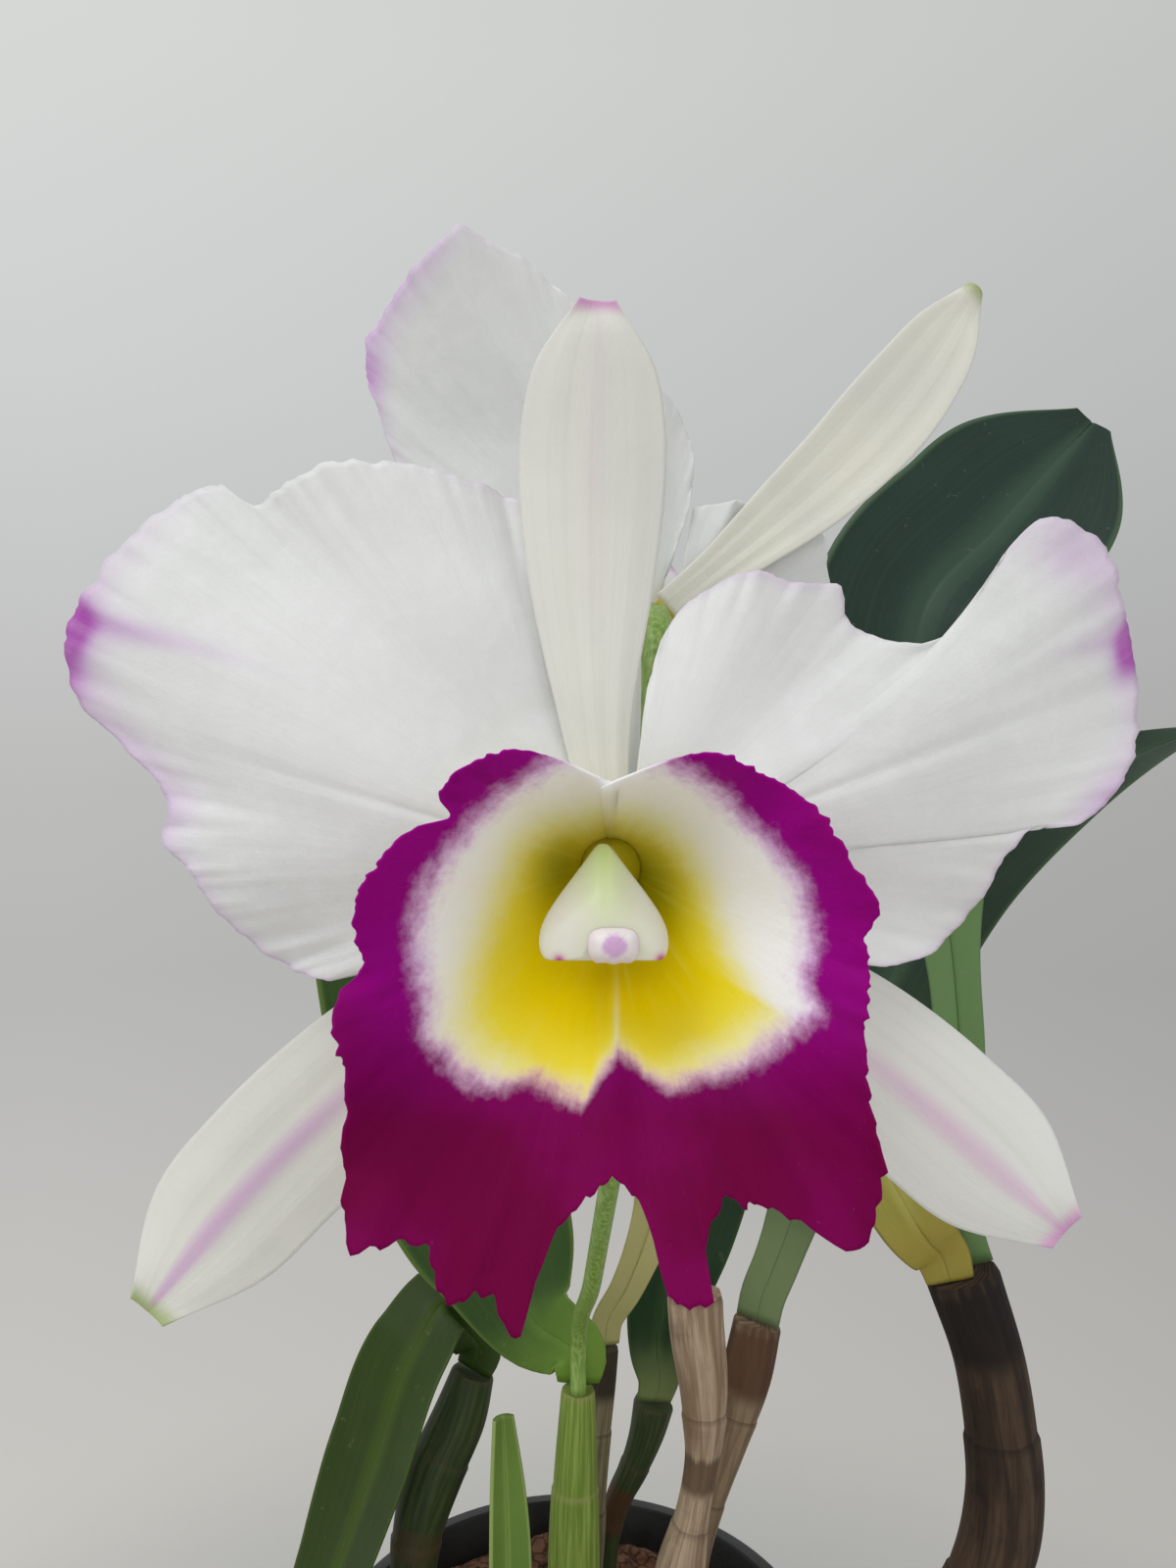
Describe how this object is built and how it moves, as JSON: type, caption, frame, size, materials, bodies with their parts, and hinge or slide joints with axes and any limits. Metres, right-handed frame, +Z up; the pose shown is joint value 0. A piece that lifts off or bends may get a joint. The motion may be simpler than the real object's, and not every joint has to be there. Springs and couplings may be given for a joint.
{
  "type": "potted cattleya orchid",
  "caption": "Potted cattleya orchid in bloom: white sepals and petals, magenta lip with a yellow throat, strap leaves on pseudobulbs, black pot with bark.",
  "frame": {"origin": "centre of the pot's flat bottom face", "axes": "+Z up; -Y is the way the front bloom faces, towards the picture's viewer; +X is the picture's right"},
  "size_m": [0.2432, 0.2271, 0.3874],
  "materials": {
    "petal_white": "satin",
    "lip_magenta": "velvety",
    "column_cream": "waxy",
    "anther_pink": "waxy",
    "leaf_green": "satin",
    "leaf_yellow": "satin",
    "fresh_green": "satin",
    "dry_sheath": "dry and papery",
    "pine_bark": "rough",
    "black_plastic": "semi-matt"
  },
  "bodies": {
    "root": {"pot": "black_plastic", "bark": "pine_bark", "new_pseudobulb": "fresh_green", "left_pseudobulb": "leaf_green", "middle_pseudobulb": "dry_sheath", "green_pseudobulb": "leaf_green", "tan_pseudobulb": "dry_sheath", "rear_pseudobulb": "dry_sheath", "curved_pseudobulb": "dry_sheath", "broad_leaf": "leaf_green", "drooping_leaf": "leaf_green", "yellow_green_leaf": "leaf_yellow", "dark_leaf": "leaf_green", "right_leaf": "leaf_green", "upright_leaf": "leaf_green", "yellowing_leaf": "leaf_yellow", "young_shoot": "fresh_green", "flower_stem": "fresh_green", "front_dorsal_sepal": "petal_white", "front_left_sepal": "petal_white", "front_right_sepal": "petal_white", "front_left_petal": "petal_white", "front_right_petal": "petal_white", "front_lip": "lip_magenta", "front_column": "column_cream", "front_anther_cap": "anther_pink", "back_dorsal_sepal": "petal_white", "back_left_sepal": "petal_white", "back_right_sepal": "petal_white", "back_left_petal": "petal_white", "back_right_petal": "petal_white", "back_lip": "lip_magenta", "back_column": "column_cream", "back_anther_cap": "anther_pink"}
  },
  "joints": []
}
